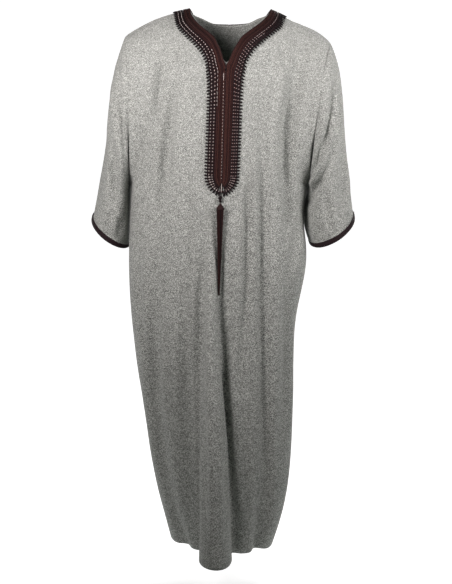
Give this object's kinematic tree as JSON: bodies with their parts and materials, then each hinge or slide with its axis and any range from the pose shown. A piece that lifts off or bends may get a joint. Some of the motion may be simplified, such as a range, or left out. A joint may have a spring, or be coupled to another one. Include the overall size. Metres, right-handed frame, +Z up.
{
  "type": "djellaba robe",
  "caption": "Long grey melange djellaba robe in its hollow worn form, with short wide sleeves, a dark braided neck and placket trim, bound cuffs and a tassel.",
  "frame": {"origin": "level with the shoulders, under the middle of the neck opening, where the wearer carries the robe", "axes": "+Z up along the robe towards the neck, -Y to its front, -X to the wearer's right"},
  "size_m": [0.656, 0.3415, 1.3487],
  "materials": {
    "grey_cloth": "matt slub weave, grey melange",
    "dark_braid": "flat braid with a low silky sheen",
    "black_cord": "twisted cord with a low sheen"
  },
  "bodies": {
    "root": {"front_panel": "grey_cloth", "back_panel": "grey_cloth", "sleeve_right": "grey_cloth", "sleeve_left": "grey_cloth", "cuff_band_right": "black_cord", "cuff_band_left": "black_cord", "braid_right": "dark_braid", "braid_left": "dark_braid", "picot_border_right": "black_cord", "picot_border_left": "black_cord", "neck_knot": "black_cord", "bead_upper": "black_cord", "bead_lower": "black_cord", "tassel": "dark_braid"}
  },
  "joints": []
}
